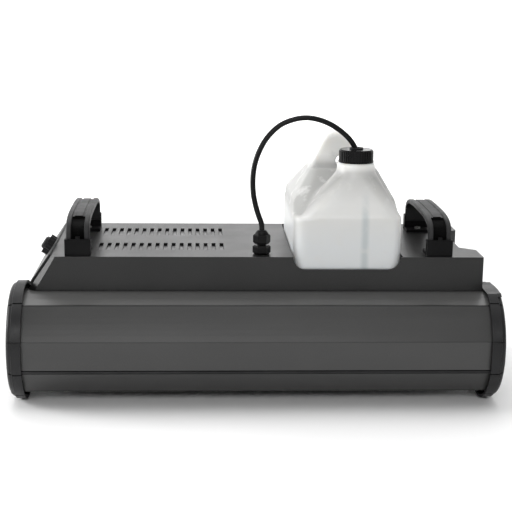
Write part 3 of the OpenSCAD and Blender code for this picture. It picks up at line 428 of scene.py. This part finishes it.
FINISH = {
    "coat": ["housing_cover", "bottle_tray", "chassis_tray", "control_panel", "end_plate"],
    "extrusion": ["barrel_front_shell", "barrel_lower_shell", "barrel_rear_shell"],
    "cap": ["left_cap", "right_cap"],
    "foot": ["left_handle_feet", "right_handle_feet"],
    "lid": ["bottle_cap"],
    "black": ["mains_inlet", "rocker_frame", "fuse_base",
              "fuse_cap", "clamp_knob", "pump_body"],
    "rubber": ["rubber_feet", "barrel_seam_strips", "end_plate_gasket", "hose_grommet"],
    "nylon": ["gland_body", "gland_nut"],
    "tube": ["suction_tube", "dip_tube"],
    "red": ["power_rocker"],
    "green": ["ready_lamp"],
    "board": ["control_board"],
    "relay": ["power_relay"],
    "wool": ["insulation_sleeve"],
    "zinc": ["cover_screws", "cap_screws", "panel_screws", "handle_screws", "knob_stud", "thermostat"],
    "sheet": ["left_bulkhead", "right_bulkhead", "heater_cradles", "pump_bracket"],
    "aluminium": ["heater_block"],
    "brass": ["fog_nozzle", "feed_pipe", "board_spacers"],
    "steel": ["nozzle_plate", "heater_rods", "remote_socket", "pump_plunger", "tube_filter"],
}

for finish, names in FINISH.items():
    for name in names:
        slots = NODES[name].data.materials
        for index in range(len(slots)):
            slots[index] = MATERIALS[finish]
        if not slots:
            slots.append(MATERIALS[finish])

hose.data.materials.append(MATERIALS["hose"])


# ---------- carrying handles ----------

STRAP_THICK = 0.006
STRAP_STRAIGHT_Z = 0.200
ARCH_POWER = 2 / 3.5
WINDOW_Z = (0.196, 0.2205)
WINDOW_HALF = 0.0079
WINDOW_DEPTH = 0.004
STRAP_SIDE_RIB = 0.0016
STRAP_EDGE = 0.0005


def strap_section(width, thick):
    """Cross-section with two raised side bands each side of a flat middle, outer face up."""
    half = width / 2
    rib = STRAP_SIDE_RIB
    right = [(0.30, -0.3), (0.36, -1), (0.53, -1), (0.60, 0), (0.88, 0), (0.97, -0.7), (1.0, -1.9)]
    outer = [(-u, v) for u, v in reversed(right)] + right
    top = [(half * u, thick / 2 + rib * v) for u, v in outer]
    return top + [(half, -thick / 2 + rib * 0.5), (half * 0.94, -thick / 2),
                  (-half * 0.94, -thick / 2), (-half, -thick / 2 + rib * 0.5)]


def arch(x, mid, half, rise, steps):
    """Squared arch from front to rear above the strap's straight ends."""
    out = []
    for i in range(steps + 1):
        a = math.pi * i / steps
        along = math.copysign(abs(math.cos(a)) ** ARCH_POWER, math.cos(a))
        out.append(Vector((x, mid - half * along, STRAP_STRAIGHT_Z + rise * abs(math.sin(a)) ** ARCH_POWER)))
    return out


def build_strap(node, body):
    """A ribbed rubber strap along the CAD strap's arch, with a blind window near each end."""
    lo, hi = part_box(node)
    x = (lo[0] + hi[0]) / 2
    mid = (lo[1] + hi[1]) / 2
    half = (hi[1] - lo[1]) / 2 - STRAP_THICK / 2
    rise = hi[2] - STRAP_STRAIGHT_Z - STRAP_THICK / 2
    leg = [lo[2] + (STRAP_STRAIGHT_Z - lo[2]) * i / 8 for i in range(8)]
    path = [Vector((x, mid - half, z)) for z in leg] + arch(x, mid, half, rise, 96)
    path += [Vector((x, mid + half, z)) for z in reversed(leg)]
    section = strap_section(hi[0] - lo[0], STRAP_THICK)
    strap = sweep(node + "_visual", path, lambda _place: section, (-1, 0, 0))
    strap.data.polygons.foreach_set("use_smooth", [False] * len(strap.data.polygons))
    strap.data.materials.append(MATERIALS["strap"])
    strap.data.materials.append(MATERIALS["shade"])
    floor, above = STRAP_THICK / 2 - WINDOW_DEPTH, STRAP_THICK
    pocket = [(-WINDOW_HALF, floor), (WINDOW_HALF, floor), (WINDOW_HALF, above), (-WINDOW_HALF, above)]
    near = [p for p in path if WINDOW_Z[0] <= p.z <= WINDOW_Z[1] and p.y < mid]
    far = [p for p in path if WINDOW_Z[0] <= p.z <= WINDOW_Z[1] and p.y > mid]
    for part in (near, far):
        tool = sweep("cutter", part, lambda _place: pocket, (-1, 0, 0))
        # The pockets' faces take the near-black painted shade material
        tool.data.materials.append(MATERIALS["strap"])
        tool.data.materials.append(MATERIALS["shade"])
        tool.data.polygons.foreach_set("material_index", [1] * len(tool.data.polygons))
        cut(strap, tool)
    bevel = strap.modifiers.new("soft_edges", "BEVEL")
    bevel.width = STRAP_EDGE
    bevel.segments = 2
    bevel.limit_method = "ANGLE"
    bevel.angle_limit = math.radians(35)
    apply_modifiers(strap)
    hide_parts(node)
    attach(strap, body)


build_strap("left_handle_strap", "left_handle")
build_strap("right_handle_strap", "right_handle")


# ---------- bottle ----------

def ring(x, y, z, r, count=32):
    return [(x + r * math.cos(2 * math.pi * i / count), y + r * math.sin(2 * math.pi * i / count), z)
            for i in range(count)]


def slab(x0, x1, y0, y1, z, r):
    """Points round a rounded rectangle at one height."""
    return [p for x in (x0 + r, x1 - r) for y in (y0 + r, y1 - r) for p in ring(x, y, z, r, 24)]


NECK = (0.1244, -0.0335)
JUG_CORNER = 0.014
SHOULDER_Z = 0.226
# Rings round the neck as (height, radius): where the tower ends, the collar and the threaded neck
TOWER_TOP = [(0.268, 0.0262), (0.279, 0.0240)]
COLLAR = [(0.270, 0.0250), (0.2885, 0.0235), (0.2898, 0.0225)]
THREAD = [(0.280, 0.0190), (0.302, 0.0190)]
# The loop's outline and finger hole in [X, Z]
LOOP_OUTLINE = [
    (0.064, 0.256), (0.071, 0.270), (0.079, 0.289), (0.087, 0.306), (0.093, 0.3135), (0.100, 0.317),
    (0.110, 0.317), (0.119, 0.312), (0.128, 0.3025), (0.139, 0.288), (0.152, 0.268), (0.158, 0.256)]
LOOP_HOLE = [((0.113, 0.284), 0.008), ((0.125, 0.278), 0.007)]
LOOP_Y = (0.0215, 0.0505)
LOOP_FOOT_Z = 0.256
# What the relaxing takes off the loop, given back across and upwards
LOOP_GROW = (1.06, 1.09)
LOOP_ROUND = 0.004
JUG_VOXEL = 0.0022


def neck_rings(rings):
    """Points of several rings round the neck's axis."""
    return [p for z, r in rings for p in ring(*NECK, z, r)]


def bottle_solids():
    """Convex solids whose union is the jug, in metres."""
    lo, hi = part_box("bottle")
    x0, x1, y0, y1, z0 = lo[0], hi[0], lo[1], hi[1], lo[2]
    r = JUG_CORNER
    lower = slab(x0 + 0.003, x1 - 0.003, y0 + 0.003, y1 - 0.003, z0, r - 0.003)
    lower += slab(x0, x1, y0, y1, z0 + 0.004, r) + slab(x0, x1, y0, y1, SHOULDER_Z, r)
    yield hull_of(lower)
    tower = slab(x0 + 0.008, x1, y0, -0.005, SHOULDER_Z - 0.012, r)
    tower += slab(x0 + 0.010, x1 - 0.001, y0 + 0.001, -0.007, SHOULDER_Z, r)
    yield hull_of(tower + neck_rings(TOWER_TOP))
    rear = slab(x0 + 0.001, x1 - 0.001, -0.060, y1 - 0.002, SHOULDER_Z - 0.004, r)
    rear += slab(x0 + 0.002, x1 - 0.002, -0.030, y1 - 0.004, 0.239, r)
    rear += slab(0.072, 0.158, 0.010, 0.078, 0.275, 0.010)
    yield hull_of(rear)
    yield hull_of(neck_rings(COLLAR))
    yield hull_of(neck_rings(THREAD))


def loop_solid():
    """The handle loop: a rounded arch with a finger hole."""
    y0, y1 = LOOP_Y
    mid_x = sum(p[0] for p in LOOP_OUTLINE) / len(LOOP_OUTLINE)
    points = []
    for y, inset in ((y0, 0.90), (y0 + LOOP_ROUND, 1.0), (y1 - LOOP_ROUND, 1.0), (y1, 0.90)):
        points += [(mid_x + (x - mid_x) * inset * LOOP_GROW[0], y,
                    LOOP_FOOT_Z + (z - LOOP_FOOT_Z) * (inset * 0.5 + 0.5) * LOOP_GROW[1])
                   for x, z in LOOP_OUTLINE]
    verts, faces = hull_of(points)
    loop = outward(add_mesh("loop", verts, faces, smooth=False))
    hole = []
    for (x, z), r in LOOP_HOLE:
        for y in (y0 - 0.01, y1 + 0.01):
            hole += [(x + r * math.cos(2 * math.pi * i / 24), y, z + r * math.sin(2 * math.pi * i / 24))
                     for i in range(24)]
    cut(loop, outward(add_mesh("cutter", *hull_of(hole), smooth=False)))
    return loop


def build_bottle():
    """Blow-moulded jug: the solids merged, remeshed and relaxed so that every edge is soft."""
    loop = loop_solid()
    verts = [v.co.copy() for v in loop.data.vertices]
    faces = [tuple(p.vertices) for p in loop.data.polygons]
    bpy.data.objects.remove(loop)
    for more, their_faces in bottle_solids():
        start = len(verts)
        verts += more
        faces += [tuple(i + start for i in f) for f in their_faces]
    jug = add_mesh("bottle_visual", verts, faces)
    remesh = jug.modifiers.new("merge", "REMESH")
    remesh.mode = "VOXEL"
    remesh.voxel_size = JUG_VOXEL
    relax = jug.modifiers.new("relax", "SMOOTH")
    relax.factor = 0.5
    relax.iterations = 5
    apply_modifiers(jug)
    jug.data.polygons.foreach_set("use_smooth", [True] * len(jug.data.polygons))
    jug.data.materials.clear()
    jug.data.materials.append(MATERIALS["jug"])
    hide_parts("bottle")
    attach(jug, "bottle")


build_bottle()


# ---------- floor, light ----------

GLOW_Y = (0.5, 1.5)
GLOW = 0.4
# The sky's direction in Y and its strength there, from the front to the rear
SKY_Y = (-0.5, 0.6)
SKY_STRENGTH = (0.22, 1.05)


def build_floor():
    """A pale floor that curves up into a backdrop far behind the object and glows a little back there."""
    half, front, back, radius, height = 9.0, -4.0, 7.0, 3.0, 6.0
    profile = [(front, 0.0), (back - radius, 0.0)]
    profile += [(back - radius + radius * math.sin(a), radius * (1 - math.cos(a)))
                for a in (math.pi / 2 * i / 24 for i in range(1, 25))]
    profile.append((back, height))
    verts = [(x, y, z) for y, z in profile for x in (-half, half)]
    faces = [(2 * i, 2 * i + 1, 2 * i + 3, 2 * i + 2) for i in range(len(profile) - 1)]
    floor = add_mesh("floor", verts, faces)
    s = Shader("pale_floor", (0.93, 0.93, 0.93), 0.7)
    s.mottle(3, (0.91, 0.91, 0.91))
    s.bsdf.inputs["Emission Color"].default_value = (1, 1, 1, 1)
    s.link(s.spread(s.axis("Y"), *GLOW_Y, 0.0, GLOW), s.bsdf.inputs["Emission Strength"])
    floor.data.materials.append(s.material)


def softbox(name, place, target, size, watts):
    """A rectangular area light that points at target."""
    data = bpy.data.lights.new(name, "AREA")
    data.shape = "RECTANGLE"
    data.size, data.size_y = size
    data.energy = watts
    light = bpy.data.objects.new(name, data)
    light.location = place
    light.rotation_euler = (Vector(target) - Vector(place)).to_track_quat("-Z", "Y").to_euler()
    bpy.context.scene.collection.objects.link(light)


def build_light():
    """A sky that is brighter behind the object, five soft lights and plain colour rendering."""
    world = bpy.data.worlds.new("studio")
    bpy.context.scene.world = world
    world.use_nodes = True
    sky = world.node_tree.nodes["Background"]
    sky.inputs["Color"].default_value = (1, 1, 1, 1)
    tree = world.node_tree
    split = tree.nodes.new("ShaderNodeSeparateXYZ")
    tree.links.new(tree.nodes.new("ShaderNodeTexCoord").outputs["Generated"], split.inputs[0])
    dim = tree.nodes.new("ShaderNodeMapRange")
    for key, number in zip(("From Min", "From Max", "To Min", "To Max"), SKY_Y + SKY_STRENGTH):
        dim.inputs[key].default_value = number
    tree.links.new(split.outputs["Y"], dim.inputs["Value"])
    tree.links.new(dim.outputs["Result"], sky.inputs["Strength"])
    softbox("top_softbox", (-0.2, -0.3, 2.2), (0, 0, 0.1), (2.4, 1.6), 16)
    softbox("front_softbox", (-0.3, -3.2, 1.7), (0, 0, 0.15), (2.4, 0.9), 45)
    softbox("rear_softbox", (-0.1, 1.3, 2.0), (0, -0.1, 0.1), (2.4, 0.8), 9)
    softbox("left_softbox", (-2.6, 0.2, 0.95), (-0.25, 0, 0.15), (0.8, 1.4), 55)
    softbox("backdrop_light", (-0.7, 3.0, 2.6), (-0.7, 6.0, 1.2), (6.5, 1.5), 175)
    bpy.context.scene.view_settings.view_transform = "Standard"


build_floor()
build_light()
